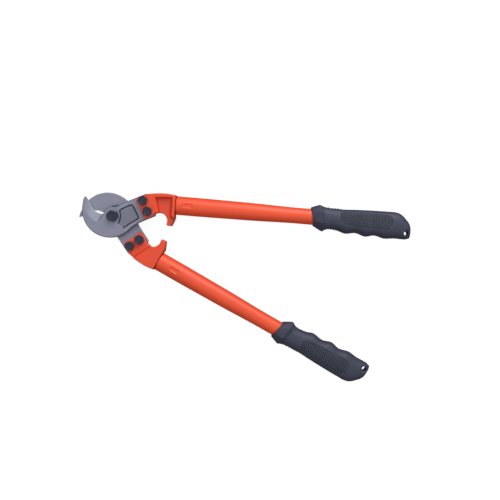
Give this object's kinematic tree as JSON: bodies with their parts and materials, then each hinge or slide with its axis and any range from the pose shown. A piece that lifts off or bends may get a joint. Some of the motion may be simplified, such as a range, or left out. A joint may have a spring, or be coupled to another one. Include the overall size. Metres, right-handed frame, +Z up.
{
  "type": "cable cutter",
  "caption": "Two-handed lever cable cutter: two hook-shaped forged blades on one pivot bolt, cast sockets, tubular steel handles and rubber grips.",
  "frame": {"origin": "on the pivot axis, at the lower end of the pivot bolt, with the tool lying flat on a bench", "axes": "+X from the pivot towards the grips, midway between the handles; +Y towards the upper handle; +Z up, along the pivot axis"},
  "size_m": [0.4388, 0.2396, 0.0348],
  "materials": {
    "blade_steel": "forged and ground, satin",
    "black_oxide": "black oxide, satin",
    "orange_casting": "gloss enamel on cast steel",
    "orange_tube": "gloss enamel on steel tube",
    "grip_rubber": "moulded, matt with cross-hatched panels"
  },
  "bodies": {
    "lower_half": {"rear_blade": "blade_steel", "pivot_bolt": "black_oxide", "pivot_tab_washer": "black_oxide", "pivot_washer": "black_oxide", "pivot_nut": "black_oxide", "lower_socket": "orange_casting", "lower_tube": "orange_tube", "lower_grip": "grip_rubber", "lower_outer_bolt": "black_oxide", "lower_inner_bolt": "black_oxide", "lower_outer_nut": "black_oxide", "lower_inner_nut": "black_oxide"},
    "upper_half": {"front_blade": "blade_steel", "upper_socket": "orange_casting", "upper_tube": "orange_tube", "upper_grip": "grip_rubber", "upper_outer_bolt": "black_oxide", "upper_inner_bolt": "black_oxide", "upper_outer_nut": "black_oxide", "upper_inner_nut": "black_oxide"}
  },
  "joints": [
    {"name": "jaw_pivot", "type": "hinge", "parent": "lower_half", "child": "upper_half", "pos_m": [0, 0, 0.017], "axis": [0, 0, 1], "range_deg": [-15.4, 70]}
  ]
}
